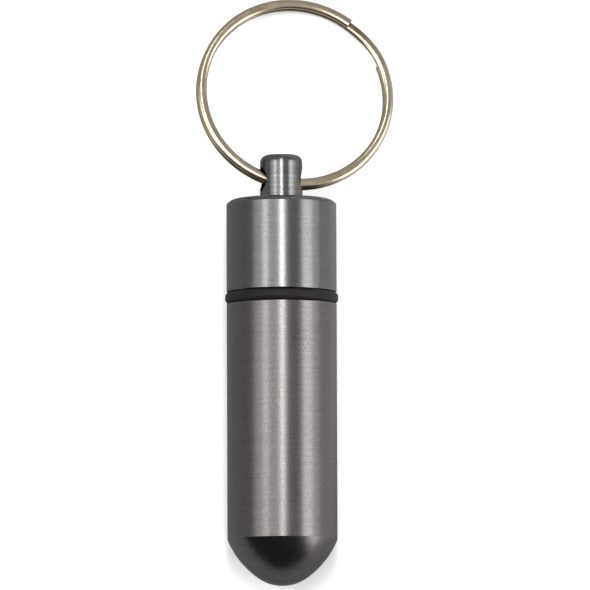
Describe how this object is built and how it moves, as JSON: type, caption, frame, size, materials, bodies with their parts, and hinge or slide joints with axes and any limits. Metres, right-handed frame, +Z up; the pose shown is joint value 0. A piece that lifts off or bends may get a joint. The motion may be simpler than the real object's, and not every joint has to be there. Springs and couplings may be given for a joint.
{
  "type": "pill fob keychain",
  "caption": "Turned aluminium pill capsule on a split key ring: the screw cap with its drilled knob closes on a rubber seal over a bored tube.",
  "frame": {"origin": "on the table the fob lies on, under the middle of its bounding box", "axes": "+Y along the capsule from the domed nose towards the key ring, +Z up from the table, +X to the right when the ring points away from the viewer"},
  "size_m": [0.0252, 0.0755, 0.0144],
  "materials": {
    "anodised": "gunmetal anodised over fine turning marks, satin",
    "seal_rubber": "black rubber, slightly glossy where it bulges",
    "ring_steel": "nickel-plated steel, polished"
  },
  "bodies": {
    "tube": {"tube": "anodised"},
    "seal": {"seal": "seal_rubber"},
    "cap": {"cap": "anodised"},
    "split_ring": {"split_ring": "ring_steel"}
  },
  "joints": [
    {"name": "cap_turn", "type": "hinge", "parent": "tube", "child": "seal", "pos_m": [-0.00175, -0.0003, 0.0072], "axis": [0, 1, 0], "range_deg": [0, 2160]},
    {"name": "cap_lift", "type": "slide", "parent": "seal", "child": "cap", "axis": [0, 1, 0], "range_m": [0, 0.0075]},
    {"name": "ring_swing", "type": "hinge", "parent": "cap", "child": "split_ring", "pos_m": [-0.00175, 0.0141, 0.0072], "axis": [0.9744, 0, -0.225], "range_deg": [-100, 135]}
  ],
  "couplings": [
    {"joint": "cap_lift", "follows": "cap_turn", "m_per_rad": 0.00019894}
  ]
}
